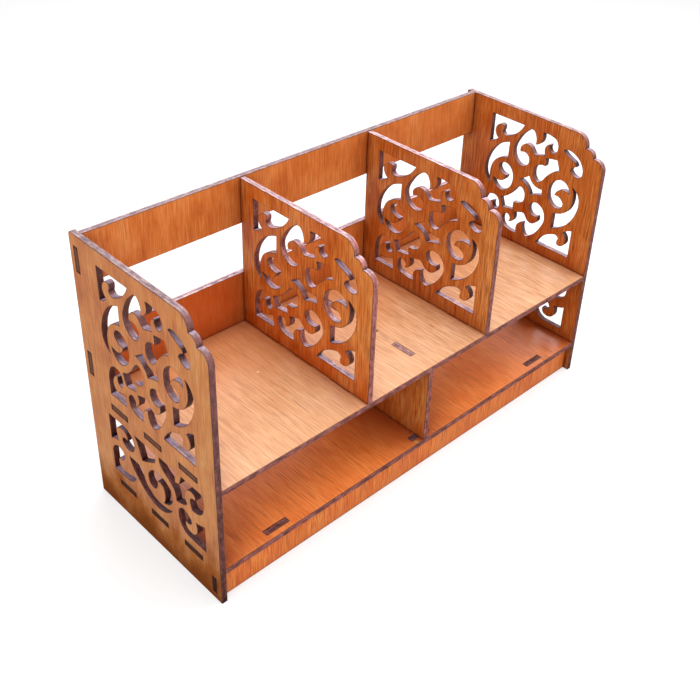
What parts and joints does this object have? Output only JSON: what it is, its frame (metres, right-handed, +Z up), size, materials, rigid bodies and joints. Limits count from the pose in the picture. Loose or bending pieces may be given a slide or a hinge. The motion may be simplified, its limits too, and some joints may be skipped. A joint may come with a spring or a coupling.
{
  "type": "slot-together desktop rack",
  "caption": "Desktop rack of tab-and-slot plywood sheets: pierced scroll sides and dividers, open bays above and below, for paints, books and small tools.",
  "frame": {"origin": "middle of the rack's footprint, on the surface it stands on", "axes": "+X to the rack's right along its width, +Y towards the back, +Z up; the open front faces -Y"},
  "size_m": [0.428, 0.16, 0.244],
  "materials": {
    "side_ply": "orange-brown stain, satin varnish, dark laser-cut edges",
    "rail_ply": "orange-brown stain, satin varnish, dark laser-cut edges",
    "shelf_ply": "light orange stain, satin varnish, dark laser-cut edges"
  },
  "bodies": {
    "root": {"left_side_panel": "side_ply", "right_side_panel": "side_ply", "left_divider": "side_ply", "right_divider": "side_ply", "upper_shelf": "shelf_ply", "bottom_shelf": "shelf_ply", "centre_partition": "side_ply", "front_apron": "rail_ply", "back_top_rail": "rail_ply", "back_lower_rail": "rail_ply"}
  },
  "joints": []
}
